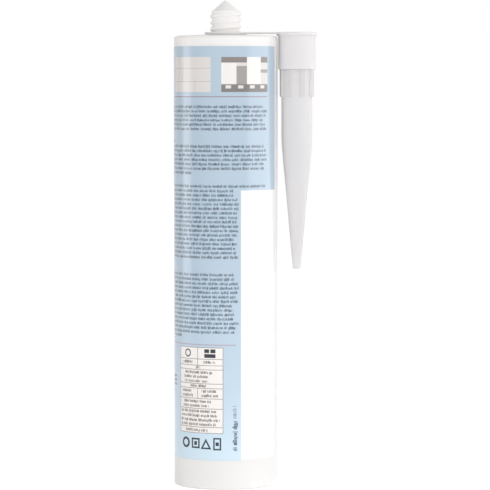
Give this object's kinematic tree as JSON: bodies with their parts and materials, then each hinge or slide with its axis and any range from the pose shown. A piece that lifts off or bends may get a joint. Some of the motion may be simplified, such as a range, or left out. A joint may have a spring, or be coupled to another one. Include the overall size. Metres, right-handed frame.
{
  "type": "caulk tube",
  "caption": "Sealant cartridge: a straight barrel with a threaded, closed nipple, a sliding rear piston, a wrap-round label and a tapered nozzle hung from a ring by a strap.",
  "frame": {"origin": "centre of the rear mouth, on the barrel's axis at its rear rim", "axes": "+Z along the barrel towards the nipple, +X towards the nozzle that hangs beside it"},
  "size_m": [0.0689, 0.05, 0.2321],
  "materials": {
    "barrel_plastic": "satin white polyethylene",
    "sealant": "white paste",
    "piston_plastic": "natural polyethylene",
    "nozzle_plastic": "natural translucent polyethylene",
    "label_film": "glossy white film",
    "label_blue": "glossy film printed pale blue"
  },
  "bodies": {
    "barrel": {"barrel": "barrel_plastic", "sealant": "sealant", "label": "label_film", "label_print": "label_blue"},
    "piston": {"piston": "piston_plastic"},
    "nozzle": {"nozzle": "nozzle_plastic"}
  },
  "joints": [
    {"name": "piston_slide", "type": "slide", "parent": "barrel", "child": "piston", "axis": [0, 0, 1], "range_m": [0, 0.18], "deforming": ["sealant"]},
    {"name": "nozzle_swivel", "type": "hinge", "parent": "barrel", "child": "nozzle", "pos_m": [0, 0, 0.2166], "axis": [0, 0, 1], "continuous": true}
  ]
}
